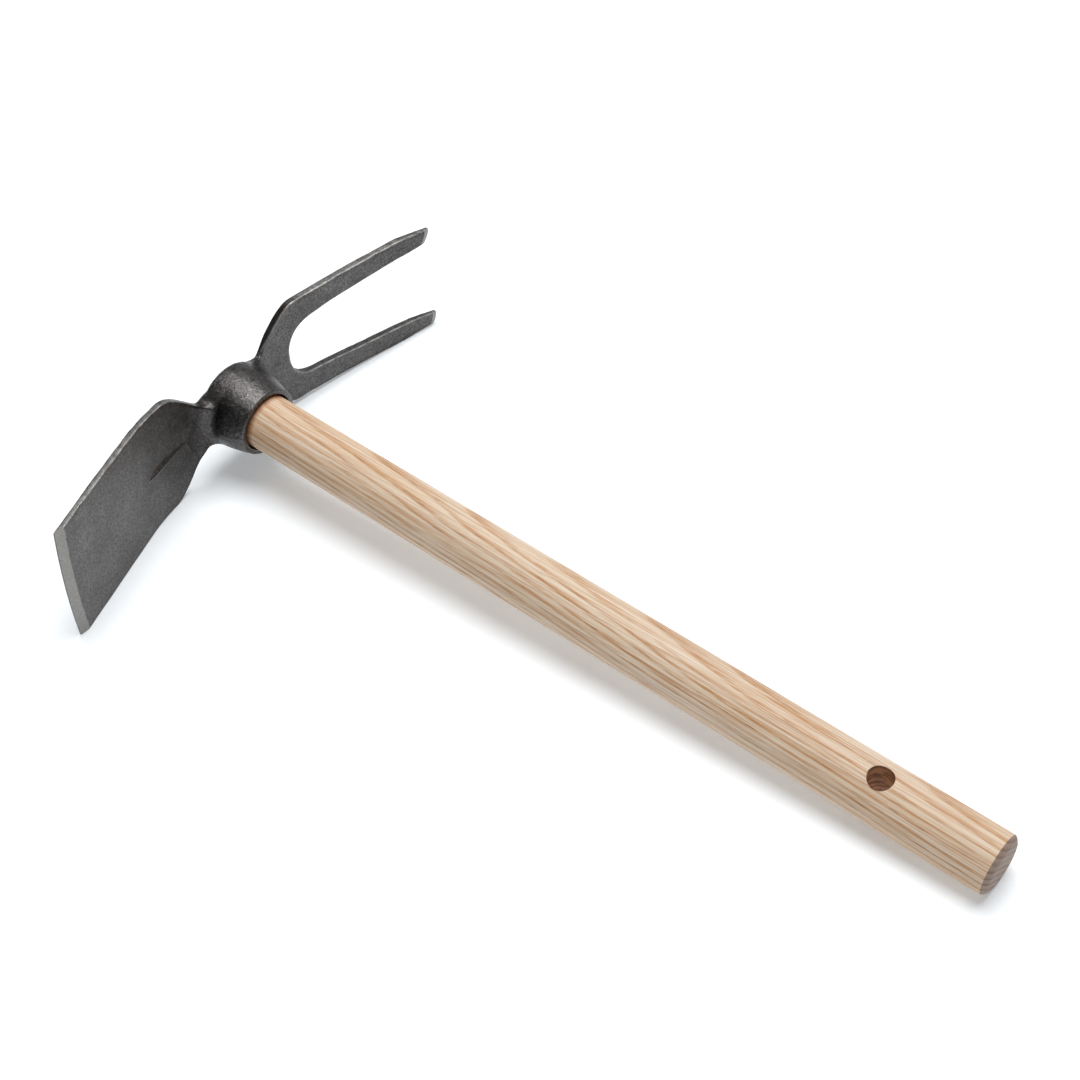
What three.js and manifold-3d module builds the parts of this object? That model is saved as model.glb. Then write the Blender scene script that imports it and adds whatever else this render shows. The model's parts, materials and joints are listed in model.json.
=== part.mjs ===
// Grub hoe: a forged steel head, with a hoe blade on one side of the eye and a two-pronged fork on
// the other, on a round ash handle that a wooden wedge and a small steel wedge hold in the eye.
//
// Lengths are in millimetres. The pieces are drawn in the tool's own axes: the origin is on the
// handle's axis, inside the eye, +X runs along the handle to its butt, +Y points to the fork, -Y to
// the blade, and Z runs across the blade. The whole tool is then laid on its side, as it rests on a
// floor: +Z is up and the origin is on the floor, under the middle of the tool.
import * as THREE from "three";
import { mergeVertices } from "three/addons/utils/BufferGeometryUtils.js";
import Module from "manifold-3d";

const wasm = await Module();
wasm.setup();

const DEG = Math.PI / 180;
const GAP = 0.3; // between pieces that touch
const ROUND_SIDES = 48; // of the turned bodies
const HOLE_SIDES = 32;
const CROTCH_STEPS = 24; // of the fork's round crotch
const SPLINE_STEPS = 8; // of the eye's side
const PAST = 5; // by which a cutter runs past what it cuts
const STATION_STEP = 3.5; // between the cross-sections of a plate
const ROUND_TURNS = [0, 30, 60, 90]; // in degrees, of the points of a quarter round
const ACROSS = [-1, -0.5, 0, 0.5, 1]; // where a cross-section has points on each face
const PLATE_CORNER = 0.4; // cut off the long edges of the plates
const SHOULDER_EASE = 0.85; // below 1, a plate widens quickly at the neck and slowly at the shoulder

const EYE = {
  mouth: 20, // X of the face that the handle comes out of
  top: -9.5, // X of the face that shows the wedges
  topRound: 3,
  topRadius: 22.4,
  bellyRadius: 22.6,
  bellyAt: -1,
  waistRadius: 21.8,
  waistAt: 7,
  mouthRadius: 18.8,
  boreMouth: 15.3,
  boreTop: 16.6,
  boreFlare: 0.7, // the bore opens by this much at the mouth
};

const HANDLE = {
  radius: 15,
  butt: 456,
  buttRound: 3,
  tenonStand: 1.5, // the tenon ends this far out of the top of the eye
  tenonChamfer: 1,
  holeAt: 393.7,
  holeRadius: 6.3,
  holeTurn: 10 * DEG, // the hang hole leans this far from Z, towards the blade
};

// Distances in a plate are measured from the handle's axis, out along the plate.
const BLADE = {
  start: 18,
  face: -4.6, // X of the front face at the neck
  bendFrom: 30,
  bendRadius: 140,
  lean: 18.3 * DEG,
  end: 141.2, // of the corners of the cutting edge
  bow: 1.8, // the middle of the cutting edge runs out this much further
  thick: 3.6,
  endThick: 2.9,
  rootRise: 3, // the front face rises by this much into the eye
  rootBack: 1.2, // and the back face falls by this much
  neckHalf: 12,
  neckEnd: 18,
  shoulder: 50,
  shoulderHalf: 35.9,
  shoulderDrift: -1.4, // Z of the blade's middle line at the shoulder
  endHalf: 37.3,
  endDrift: 0.5, // and at the cutting edge
  crown: 0.8, // the upper long edge bows out by this much between the two
  bevel: 4.6,
  bevelDepth: 2,
};

const FORK = {
  start: 18,
  face: -6.8, // X of the front face near the crotch
  crotch: 44.5,
  lean: 8 * DEG,
  leanAt: 45, // the distance where the plate leans that much
  bendRadius: 1060,
  end: 142.2,
  endSlant: 0.04, // the lower prong is a little longer than the upper one
  thick: 4.2,
  midThick: 3.6,
  tipThick: 1.8,
  rootRise: 4.5,
  rootBack: -4, // the plate runs forward into the eye, front and back
  neckHalf: 12,
  neckEnd: 22,
  shoulder: 51,
  shoulderHalf: 34,
  taperHalf: 35.9,
  tipHalf: 34.2,
  taper: 121, // where the prongs start to narrow to their tips
  gapRadius: 20.2,
  gapTaperHalf: 24.8,
  gapTipHalf: 26.4,
  gapEnd: 146,
  gapDepth: 30, // of the cutter, well past both faces
  bevel: 2.2,
  bevelDepth: 0.9,
};

const ROOT = { from: 17, to: 33 }; // where both plates blend into the eye

const WOOD_WEDGE = { thick: 4, tip: 1.2, depth: 22, stand: 1.2, width: 32 };
const STEEL_WEDGE = { thick: 2.6, tip: 0.6, depth: 13, stand: 1.6, width: 15 };
const KERF = { thick: 1.8, depth: 25, stand: 1, width: 50 };

const LOOK = {
  forgedSteel: { color: 0x4b4947, roughness: 0.62, metalness: 0.75 },
  ash: { color: 0xdcbd95, roughness: 0.58, metalness: 0 },
  beech: { color: 0xb98a5c, roughness: 0.65, metalness: 0 },
  brightSteel: { color: 0x8a8883, roughness: 0.4, metalness: 0.9 },
};

const { clamp, lerp, smoothstep, mapLinear } = THREE.MathUtils;

// ---- Solids ----

function solid(geometry) {
  const bare = geometry.clone();
  bare.deleteAttribute("normal");
  bare.deleteAttribute("uv");
  const merged = mergeVertices(bare, 1e-4);
  return new wasm.Manifold(new wasm.Mesh({
    numProp: 3,
    vertProperties: new Float32Array(merged.attributes.position.array),
    triVerts: new Uint32Array(merged.index.array),
  }));
}

function piece(name, body, look) {
  const { vertProperties, triVerts } = body.getMesh();
  const geometry = new THREE.BufferGeometry();
  geometry.setAttribute("position", new THREE.BufferAttribute(vertProperties, 3));
  geometry.setIndex(new THREE.BufferAttribute(triVerts, 1));
  const mesh = new THREE.Mesh(geometry, new THREE.MeshStandardMaterial(look));
  mesh.name = name;
  return mesh;
}

// A round solid about the X axis, from a profile of [x, radius] points in the order of rising X.
function turned(profile) {
  const points = profile.map(([x, radius]) => new THREE.Vector2(radius, x));
  return solid(new THREE.LatheGeometry(points, ROUND_SIDES).rotateZ(-Math.PI / 2));
}

// Joins rings of points, all of one length, into one closed body. In each ring, point k faces point
// k from the end, and the end caps are strips between such pairs.
function loft(rings) {
  const size = rings[0].length;
  const last = (rings.length - 1) * size;
  const index = [];
  for (let side = 0; side < size; side += 1) {
    const next = (side + 1) % size;
    for (let row = 0; row < last; row += size) {
      index.push(row + side, row + next, row + size + next);
      index.push(row + side, row + size + next, row + size + side);
    }
  }
  for (let near = 0; near < size / 2 - 1; near += 1) {
    const far = size - 1 - near;
    index.push(near, far - 1, near + 1);
    index.push(near, far, far - 1);
    index.push(last + near, last + near + 1, last + far - 1);
    index.push(last + near, last + far - 1, last + far);
  }
  const geometry = new THREE.BufferGeometry().setFromPoints(rings.flat());
  geometry.setIndex(index);
  return solid(geometry);
}

function steps(from, to) {
  const count = Math.ceil((to - from) / STATION_STEP);
  return Array.from({ length: count + 1 }, (_, i) => lerp(from, to, i / count));
}

// ---- Blade and fork ----

// Cross-section of a plate: a flat bar across Z with its corners cut off. Side is 1 for the fork
// and -1 for the blade. FaceAt gives X and lean of the front face at a distance, rise lifts it, and
// recess is how far it is ground away. DistanceAt gives the section's distance at each Z.
function section(side, { distanceAt, faceAt, rise, thick, half, middle = 0, recess = 0 }) {
  const corner = Math.min(PLATE_CORNER, (thick - recess) / 3);
  const across = ACROSS.map((share) => share * (half - corner));
  const outline = [
    [recess + corner, -half],
    ...across.map((z) => [recess, z]),
    [recess + corner, half],
    [thick - corner, half],
    ...across.toReversed().map((z) => [thick, z]),
    [thick - corner, -half],
  ];
  const ring = outline.map(([depth, z]) => {
    const distance = distanceAt(z);
    const { face, lean } = faceAt(distance);
    return new THREE.Vector3(
      face + rise - depth * Math.cos(lean),
      side * (distance + depth * Math.sin(lean)),
      middle + z,
    );
  });
  return side > 0 ? ring.reverse() : ring;
}

// 0 to 1 from a plate's neck to its shoulder.
function widening(distance, { neckEnd, shoulder }) {
  const share = clamp((distance - neckEnd) / (shoulder - neckEnd), 0, 1);
  return smoothstep(share ** SHOULDER_EASE, 0, 1);
}

// 1 inside the eye, and 0 out in the plate.
function rootBlend(distance) {
  return 1 - smoothstep(distance, ROOT.from, ROOT.to);
}

// The blade's front face is flat at the neck, bends towards the handle, and then runs straight.
function bladeFace(distance) {
  const along = Math.max(distance - BLADE.bendFrom, 0);
  const arc = Math.min(along, BLADE.bendRadius * Math.sin(BLADE.lean));
  const sag = BLADE.bendRadius - Math.sqrt(BLADE.bendRadius ** 2 - arc ** 2);
  const face = BLADE.face + sag + (along - arc) * Math.tan(BLADE.lean);
  return { face, lean: Math.asin(arc / BLADE.bendRadius) };
}

function bladeHalf(distance) {
  const neck = lerp(BLADE.neckHalf, BLADE.shoulderHalf, widening(distance, BLADE));
  const spread = mapLinear(distance, BLADE.shoulder, BLADE.end, 0, BLADE.endHalf - BLADE.shoulderHalf);
  return neck + Math.max(spread, 0);
}

// Z of the blade's middle line.
function bladeDrift(distance) {
  if (distance > BLADE.shoulder) {
    return mapLinear(distance, BLADE.shoulder, BLADE.end, BLADE.shoulderDrift, BLADE.endDrift);
  }
  return mapLinear(distance, BLADE.neckEnd, BLADE.shoulder, 0, BLADE.shoulderDrift);
}

// How much the upper long edge bows out.
function bladeCrown(distance) {
  const share = clamp(mapLinear(distance, BLADE.shoulder, BLADE.end, 0, 1), 0, 1);
  return BLADE.crown * Math.sin(Math.PI * share);
}

// Bow is how much further the section runs out in its middle.
function bladeSection(distance, recess = 0, bow = 0) {
  const root = rootBlend(distance);
  const crown = bladeCrown(distance);
  const half = bladeHalf(distance) + crown / 2;
  return section(-1, {
    distanceAt: (z) => distance + bow * (1 - (z / half) ** 2),
    faceAt: bladeFace,
    rise: BLADE.rootRise * root,
    thick: lerp(BLADE.thick, BLADE.endThick, distance / BLADE.end)
      + (BLADE.rootRise + BLADE.rootBack) * root,
    half,
    middle: bladeDrift(distance) + crown / 2,
    recess,
  });
}

// The bevel of the cutting edge is ground on the side that faces the handle.
function blade() {
  const bevelFrom = BLADE.end - BLADE.bevel;
  const rings = steps(BLADE.start, bevelFrom - STATION_STEP).map((distance) => bladeSection(distance));
  const bevelTop = bladeSection(bevelFrom, 0, BLADE.bow);
  const edge = bladeSection(BLADE.end, BLADE.bevelDepth, BLADE.bow);
  return loft([...rings, bevelTop, edge]);
}

// The fork's front face leans towards the handle all the way, a little more at the tips.
function forkFace(distance) {
  const along = distance - FORK.leanAt;
  const slope = Math.tan(FORK.lean) + along / FORK.bendRadius;
  const face = FORK.face + along * Math.tan(FORK.lean) + along ** 2 / (2 * FORK.bendRadius);
  return { face, lean: Math.atan(slope) };
}

function forkHalf(distance) {
  if (distance > FORK.taper) {
    return mapLinear(distance, FORK.taper, FORK.end, FORK.taperHalf, FORK.tipHalf);
  }
  const neck = lerp(FORK.neckHalf, FORK.shoulderHalf, widening(distance, FORK));
  const spread = mapLinear(distance, FORK.shoulder, FORK.taper, 0, FORK.taperHalf - FORK.shoulderHalf);
  return neck + Math.max(spread, 0);
}

function forkThick(distance) {
  if (distance > FORK.taper) {
    return mapLinear(distance, FORK.taper, FORK.end, FORK.midThick, FORK.tipThick);
  }
  const body = mapLinear(distance, FORK.start, FORK.taper, FORK.thick, FORK.midThick);
  return body + (FORK.rootRise + FORK.rootBack) * rootBlend(distance);
}

// Slant is how much nearer the section is, for each millimetre up across the fork.
function forkSection(distance, recess = 0, slant = 0) {
  const root = rootBlend(distance);
  return section(1, {
    distanceAt: (z) => distance - slant * z,
    faceAt: forkFace,
    rise: FORK.rootRise * root,
    thick: forkThick(distance),
    half: forkHalf(distance),
    recess,
  });
}

// The gap between the prongs: a round crotch, straight sides that open outwards, and a wider mouth
// where the prongs narrow to their tips.
function forkGap() {
  const centre = FORK.crotch + FORK.gapRadius;
  const outline = new THREE.Shape();
  outline.absarc(0, centre, FORK.gapRadius, -Math.PI, 0, false);
  outline.lineTo(FORK.gapTaperHalf, FORK.taper);
  outline.lineTo(FORK.gapTipHalf, FORK.gapEnd);
  outline.lineTo(-FORK.gapTipHalf, FORK.gapEnd);
  outline.lineTo(-FORK.gapTaperHalf, FORK.taper);
  const cutter = new THREE.ExtrudeGeometry(outline, {
    depth: 2 * FORK.gapDepth,
    bevelEnabled: false,
    curveSegments: CROTCH_STEPS,
  });
  return solid(cutter.translate(0, 0, -FORK.gapDepth).rotateY(Math.PI / 2));
}

function fork() {
  const body = steps(FORK.start, FORK.taper).map((distance) => forkSection(distance));
  const bevelTop = forkSection(FORK.end - FORK.bevel, 0, FORK.endSlant);
  const tip = forkSection(FORK.end, FORK.bevelDepth, FORK.endSlant);
  return loft([...body, bevelTop, tip]).subtract(forkGap());
}

// ---- Eye and head ----

// Points of a quarter round, from the side of a body to its end. Way is 1 for an end at higher X.
function quarterRound(end, radius, round, way) {
  const turns = ROUND_TURNS.map((degrees) => degrees * DEG);
  return turns.map((turn) => [
    end - way * round * (1 - Math.sin(turn)),
    radius - round * (1 - Math.cos(turn)),
  ]);
}

// The eye is a barrel with a rounded top, and it narrows towards the mouth.
function eyeBarrel() {
  const side = new THREE.SplineCurve([
    new THREE.Vector2(EYE.top + EYE.topRound, EYE.topRadius),
    new THREE.Vector2(EYE.bellyAt, EYE.bellyRadius),
    new THREE.Vector2(EYE.waistAt, EYE.waistRadius),
    new THREE.Vector2(EYE.mouth, EYE.mouthRadius),
  ]);
  const sidePoints = side.getPoints(SPLINE_STEPS).slice(1).map(({ x, y }) => [x, y]);
  const topEdge = quarterRound(EYE.top, EYE.topRadius, EYE.topRound, -1).reverse();
  return turned([[EYE.top, 0], ...topEdge, ...sidePoints, [EYE.mouth, 0]]);
}

function boreRadius(x) {
  return mapLinear(x, EYE.top, EYE.mouth, EYE.boreTop, EYE.boreMouth);
}

function eyeBore() {
  const flareFrom = EYE.mouth - EYE.boreFlare;
  return turned([
    [EYE.top - PAST, 0],
    [EYE.top - PAST, boreRadius(EYE.top - PAST)],
    [flareFrom, boreRadius(flareFrom)],
    [EYE.mouth, boreRadius(EYE.mouth) + EYE.boreFlare],
    [EYE.mouth + PAST, boreRadius(EYE.mouth) + EYE.boreFlare],
    [EYE.mouth + PAST, 0],
  ]);
}

function forgedHead() {
  return eyeBarrel().add(blade()).add(fork()).subtract(eyeBore());
}

// ---- Handle and wedges ----

const TENON_TOP = EYE.top - HANDLE.tenonStand;

function tenonRadius(x) {
  return boreRadius(x) - GAP;
}

function hangHole() {
  const length = 2 * (HANDLE.radius + PAST);
  const cutter = new THREE.CylinderGeometry(HANDLE.holeRadius, HANDLE.holeRadius, length, HOLE_SIDES);
  return solid(cutter.rotateX(Math.PI / 2 + HANDLE.holeTurn).translate(HANDLE.holeAt, 0, 0));
}

// A wedge driven into the tenon from the top of the eye, thin along Y and wide along Z. Grow makes
// it bigger all round, to cut the slot that it sits in.
function wedge({ thick, tip, depth, stand, width }, grow = 0) {
  const top = TENON_TOP - stand - grow;
  const end = TENON_TOP + depth + grow;
  const outline = new THREE.Shape([
    new THREE.Vector2(top, -thick / 2 - grow),
    new THREE.Vector2(end, -tip / 2 - grow),
    new THREE.Vector2(end, tip / 2 + grow),
    new THREE.Vector2(top, thick / 2 + grow),
  ]);
  const across = width + 2 * grow;
  const bar = new THREE.ExtrudeGeometry(outline, { depth: across, bevelEnabled: false });
  return bar.translate(0, 0, -across / 2);
}

function steelWedgeSolid(grow) {
  return solid(wedge(STEEL_WEDGE, grow));
}

function woodWedgeSolid(grow) {
  return solid(wedge(WOOD_WEDGE, grow).rotateX(Math.PI / 2));
}

function sawnKerf() {
  return solid(wedge({ ...KERF, tip: KERF.thick }).rotateX(Math.PI / 2));
}

function handle() {
  const blank = turned([
    [TENON_TOP, 0],
    [TENON_TOP, tenonRadius(TENON_TOP) - HANDLE.tenonChamfer],
    [TENON_TOP + HANDLE.tenonChamfer, tenonRadius(TENON_TOP + HANDLE.tenonChamfer)],
    [EYE.mouth, HANDLE.radius],
    ...quarterRound(HANDLE.butt, HANDLE.radius, HANDLE.buttRound, 1),
    [HANDLE.butt, 0],
  ]);
  return blank
    .subtract(hangHole())
    .subtract(sawnKerf())
    .subtract(woodWedgeSolid(GAP))
    .subtract(steelWedgeSolid(GAP));
}

// The wooden wedge is trimmed round, to stay clear of the eye.
function woodWedge() {
  const start = TENON_TOP - 2 * WOOD_WEDGE.stand;
  const end = EYE.mouth;
  const trim = turned([
    [start, 0],
    [start, tenonRadius(EYE.top) - GAP],
    [end, tenonRadius(end) - GAP],
    [end, 0],
  ]);
  return woodWedgeSolid(0).intersect(trim).subtract(steelWedgeSolid(GAP));
}

// ---- The tool, laid on its side ----

function toolInItsOwnAxes() {
  const tool = new THREE.Group();
  tool.add(piece("forged_head", forgedHead(), LOOK.forgedSteel));
  tool.add(piece("ash_handle", handle(), LOOK.ash));
  tool.add(piece("wood_wedge", woodWedge(), LOOK.beech));
  tool.add(piece("steel_wedge", steelWedgeSolid(0), LOOK.brightSteel));
  return tool;
}

// The three points that carry the tool when it lies down: the lower end of the cutting edge, the
// lower prong near its tip, and the rim of the butt.
function restingPoints() {
  const edge = bladeFace(BLADE.end).face;
  const prong = forkFace(FORK.taper).face;
  return [
    new THREE.Vector3(edge, -BLADE.end, BLADE.endDrift - BLADE.endHalf),
    new THREE.Vector3(prong, FORK.taper, -FORK.taperHalf),
    new THREE.Vector3(HANDLE.butt - HANDLE.buttRound, 0, -HANDLE.radius),
  ];
}

function layDown(tool) {
  const floor = new THREE.Plane().setFromCoplanarPoints(...restingPoints());
  const up = floor.normal.z > 0 ? floor.normal : floor.normal.negate();
  tool.quaternion.setFromUnitVectors(up, new THREE.Vector3(0, 0, 1));
  const box = new THREE.Box3().setFromObject(tool, true);
  const middle = box.getCenter(new THREE.Vector3());
  tool.position.set(-middle.x, -middle.y, -box.min.z);
  return tool;
}

const grubHoe = new THREE.Group();
grubHoe.add(layDown(toolInItsOwnAxes()));

export default grubHoe;
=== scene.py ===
"""Looks of the grub hoe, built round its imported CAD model.

Every piece is drawn in the tool's own axes, in millimetres: the origin is on the handle's axis,
inside the eye, +X runs along the handle to its butt, +Y points to the fork, -Y to the blade, and Z
runs across the blade. place() then lays it on the floor, in metres, where the CAD model lies.
"""

import json
import math

import bmesh
import bpy
import numpy as np
from mathutils import Matrix, Vector


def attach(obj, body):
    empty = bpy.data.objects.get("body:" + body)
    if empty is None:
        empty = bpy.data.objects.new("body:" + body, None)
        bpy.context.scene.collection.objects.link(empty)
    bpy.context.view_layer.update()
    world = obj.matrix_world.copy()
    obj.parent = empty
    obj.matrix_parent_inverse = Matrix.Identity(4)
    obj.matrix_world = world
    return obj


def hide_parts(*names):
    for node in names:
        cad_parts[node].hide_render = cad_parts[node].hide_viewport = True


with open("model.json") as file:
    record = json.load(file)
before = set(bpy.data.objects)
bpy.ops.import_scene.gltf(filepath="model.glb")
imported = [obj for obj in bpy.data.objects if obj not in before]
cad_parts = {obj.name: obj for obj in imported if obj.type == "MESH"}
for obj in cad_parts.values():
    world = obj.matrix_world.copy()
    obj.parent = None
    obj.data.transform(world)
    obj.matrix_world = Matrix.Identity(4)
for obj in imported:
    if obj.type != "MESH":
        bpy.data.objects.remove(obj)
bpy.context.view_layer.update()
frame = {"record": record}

MM = 0.001
SEED = 7

# ---- Sizes of the tool in millimetres, close to the CAD model's ----

EYE_MOUTH = 20.0
EYE_TOP = -9.5
EYE_TOP_ROUND = 3.0
EYE_PROFILE_X = (-6.5, -1.0, 7.0, 20.0)
EYE_PROFILE_RADIUS = (22.3, 22.5, 21.7, 18.7)
EYE_RIM_ROUND = 0.6
BORE_MOUTH, BORE_TOP = 15.3, 16.6
BORE_FLARE, BORE_FLARE_DEPTH = 0.7, 2.5  # at its mouth

PLATE_START = 12.0
ROOT_FROM, ROOT_TO = 17.0, 33.0
ROOT_FILLET = 6.0
EDGE_ROUND = 0.40
SHOULDER_EASE = 0.85
ROOT_EDGE_ROUND, ROOT_EDGE_SHIFT = 0.9, 6.0  # the long edges are this much rounder near the eye

BLADE_FACE = -4.6
BLADE_BEND_FROM = 30.0
BLADE_BEND_RADIUS = 140.0
BLADE_LEAN = math.radians(18.3)
BLADE_END = 141.2
BLADE_BOW = 1.8  # the cutting edge runs out this much further in its middle
BLADE_THICK, BLADE_END_THICK = 3.6, 2.9
BLADE_RISE, BLADE_BACK = 3.0, 1.2  # how much thicker its root is, in front and behind
BLADE_NECK_HALF, BLADE_NECK_END = 12.0, 18.0
BLADE_SHOULDER, BLADE_SHOULDER_HALF, BLADE_END_HALF = 50.0, 35.9, 37.3
BLADE_CROWN = 0.65  # its upper long edge bows out by this much
BLADE_DRIFT = (-1.4, 0.5)  # how far its middle lies from the head's plane, at shoulder and edge
BLADE_BEVEL, BLADE_BEVEL_DEPTH = 4.6, 2.0
CUTTING_EDGE_ROUND = 0.12

FORK_FACE = -6.8
FORK_LEAN_AT = 45.0
FORK_CROTCH = 44.5
FORK_SLOPE = math.tan(math.radians(8.0))
FORK_BEND_RADIUS = 1060.0
FORK_END, FORK_END_SLANT = 142.2, 0.04  # the lower prong is a little longer
FORK_TAPER = 121.0
FORK_THICK, FORK_MID_THICK, FORK_TIP_THICK = 4.2, 3.6, 2.3
FORK_RISE, FORK_BACK = 4.5, -4.0
FORK_NECK_HALF, FORK_NECK_END = 12.0, 22.0
FORK_SHOULDER, FORK_SHOULDER_HALF = 51.0, 34.0
FORK_TAPER_HALF, FORK_TIP_HALF = 35.9, 34.2
# Its root is fuller on the lower side. Swells are given as height, middle and reach.
FORK_SAG = (3.0, 41.0, 6.5)
FORK_GAP_RADIUS, FORK_GAP_TAPER_HALF, FORK_GAP_TIP_HALF = 20.2, 24.4, 26.8
FORK_GAP_LIFT = 0.5  # of the crotch, above the middle
FORK_GAP_OPENING = 1.7  # how late the gap opens towards the tips
# The upper prong swells into the gap; the lower one is a little hollow.
FORK_GAP_SWELL = (0.85, 61.5, 8.0)
FORK_GAP_HOLLOW = (-0.5, 96.0, 14.0)
FORK_SWELL_FADE = (6.0, 16.0)
FORK_CROTCH_POWERS = (2.0, 2.7)  # how square the crotch is on its upper and lower side
FORK_CROTCH_BLEND = 6.0
PRONG_CORNER_ROUND = 1.2
FORK_BEVEL, FORK_BEVEL_DEPTH = 2.9, 1.1
FORK_TIP_CURVE = (0.046, 0.030)  # of the upper and lower prong's end, which falls back downwards

HANDLE_RADIUS = 15.0
HANDLE_BUTT = 456.0
HANDLE_BUTT_ROUND = 3.0
# The sanded edge of the butt, as distances back from its end and in from its side.
BUTT_EDGE = ((2.5, 0.02), (2.45, 0.06), (1.6, 0.8), (0.9, 1.6), (0.45, 2.4), (0.2, 3.3))
TENON_TOP = -11.0
SLOT_GAP = 0.1
# Lengths along the tenon are from its end. An upright one is thin along Y and wide along Z.
WOOD_WEDGE = {"thick": 4.0, "tip": 1.2, "depth": 22.0, "stand": 1.0,
              "width": 31.4, "tip_width": 29.8, "upright": False}
STEEL_WEDGE = {"thick": 2.6, "tip": 0.6, "depth": 13.0, "stand": 1.4,
               "width": 15.0, "tip_width": 15.0, "upright": True}
KERF = {"thick": 1.6, "tip": 1.6, "depth": 25.0, "stand": 3.0,
        "width": 50.0, "tip_width": 50.0, "upright": False}
HOLE_AT = 393.7
HOLE_RADIUS = 6.3
HOLE_TURN = math.radians(10.0)

# ---- Small numeric helpers, for numbers or numpy arrays ----


def lerp(a, b, t):
    return a + (b - a) * t


def smoothstep(x, low, high):
    t = np.clip((x - low) / (high - low), 0, 1)
    return t * t * (3 - 2 * t)


def swell(x, height, middle, reach):
    """A smooth bell of that height round its middle."""
    return height * np.exp(-(((x - middle) / reach) ** 2))


def filleted_union(a, b, radius):
    """Union of two distance fields, with a round fillet of that radius where they meet."""
    u = np.maximum(radius - a, 0)
    v = np.maximum(radius - b, 0)
    return np.maximum(radius, np.minimum(a, b)) - np.sqrt(u * u + v * v)


def round_both(a, b, radius):
    """Intersection of two distance fields, with the edge rounded to that radius."""
    u = np.maximum(radius + a, 0)
    v = np.maximum(radius + b, 0)
    return np.minimum(-radius, np.maximum(a, b)) + np.sqrt(u * u + v * v)


def waves(points, length, count, seed):
    """A smooth seeded noise of about unit height: a sum of sine waves about that long."""
    random = np.random.default_rng(seed)
    total = np.zeros(len(points))
    for _ in range(count):
        way = random.normal(size=3)
        way *= 2 * math.pi / (length * random.uniform(0.7, 1.5) * np.linalg.norm(way))
        total += np.sin(points @ way + random.uniform(0, 2 * math.pi))
    return total / math.sqrt(count)


# ---- Shape of the forged head ----


def root_blend(distance):
    return 1 - smoothstep(distance, ROOT_FROM, ROOT_TO)


def blade_face(distance):
    """X and lean of the blade's front face, at that distance from the handle's axis."""
    along = np.maximum(distance - BLADE_BEND_FROM, 0)
    arc = np.minimum(along, BLADE_BEND_RADIUS * math.sin(BLADE_LEAN))
    sag = BLADE_BEND_RADIUS - np.sqrt(BLADE_BEND_RADIUS**2 - arc**2)
    face = BLADE_FACE + sag + (along - arc) * math.tan(BLADE_LEAN)
    return face, np.arcsin(arc / BLADE_BEND_RADIUS)


def fork_face(distance):
    along = distance - FORK_LEAN_AT
    face = FORK_FACE + along * FORK_SLOPE + along**2 / (2 * FORK_BEND_RADIUS)
    return face, np.arctan(FORK_SLOPE + along / FORK_BEND_RADIUS)


def blade_side(along, z):
    """Distance outside the blade's long edges."""
    share = np.clip((along - BLADE_SHOULDER) / (BLADE_END - BLADE_SHOULDER), 0, 1)
    crown = BLADE_CROWN * np.sin(math.pi * share) * (z > 0)
    return outline(blade_half, along, z - blade_drift(along)) - crown


def blade_drift(along):
    return np.interp(along, (BLADE_NECK_END, BLADE_SHOULDER, BLADE_END), (0, *BLADE_DRIFT))


def blade_end(z):
    return BLADE_END + BLADE_BOW * (1 - (z / BLADE_END_HALF) ** 2)


def widening(distance, start, end):
    """0 to 1 from a plate's neck to its shoulder, quick at first."""
    return smoothstep(np.clip((distance - start) / (end - start), 0, 1) ** SHOULDER_EASE, 0, 1)


def blade_half(distance):
    widen = widening(distance, BLADE_NECK_END, BLADE_SHOULDER)
    neck = lerp(BLADE_NECK_HALF, BLADE_SHOULDER_HALF, widen)
    spread = (distance - BLADE_SHOULDER) / (BLADE_END - BLADE_SHOULDER)
    return neck + np.maximum(spread, 0) * (BLADE_END_HALF - BLADE_SHOULDER_HALF)


def fork_end(z):
    """Where the prongs end. Each end curves back towards the prong's lower side."""
    upper = z > 0
    below = np.where(upper, FORK_TIP_HALF, -FORK_GAP_TIP_HALF) - z
    fall = np.clip(below, 0, FORK_TIP_HALF - FORK_GAP_TIP_HALF)
    return FORK_END - FORK_END_SLANT * z - np.where(upper, *FORK_TIP_CURVE) * fall**2


def fork_half(distance):
    widen = widening(distance, FORK_NECK_END, FORK_SHOULDER)
    stations = (FORK_SHOULDER, FORK_TAPER, FORK_END)
    outer = np.interp(distance, stations, (FORK_SHOULDER_HALF, FORK_TAPER_HALF, FORK_TIP_HALF))
    neck = lerp(FORK_NECK_HALF, FORK_SHOULDER_HALF, widen)
    return np.where(distance < FORK_SHOULDER, neck, outer)


def fork_side(along, z):
    """Distance outside the fork's long edges."""
    return outline(fork_half, along, z + swell(along, *FORK_SAG) * (z < 0))


def in_plate(face_of, x, distance):
    """Depth behind a plate's front face, and the distance of the face's point above it."""
    along = distance
    for _ in range(3):
        face, lean = face_of(along)
        miss = (x - face) * np.sin(lean) + (distance - along) * np.cos(lean)
        along = along + miss * np.cos(lean)
    face, lean = face_of(along)
    return (face - x) * np.cos(lean) + (distance - along) * np.sin(lean), along


def outline(half_of, along, z):
    """Distance outside a plate's side edge."""
    slope = half_of(along + 0.5) - half_of(along - 0.5)
    return (np.abs(z) - half_of(along)) / np.sqrt(1 + slope**2)


def edge_round(along):
    """Radius of the rounding along a plate's long edges."""
    return EDGE_ROUND + ROOT_EDGE_ROUND * root_blend(along - ROOT_EDGE_SHIFT)


RIB_FROM, RIB_TO = 32.0, 68.0
RIB_CREST = (-1.2, -2.4)  # Z of its crest, at the neck and at its tip
RIB_UPPER, RIB_LOWER = (1.2, 2.9), (1.5, 3.3)  # its flanks' widths, at the neck and at their widest
RIB_SLOPE = 0.6
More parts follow.
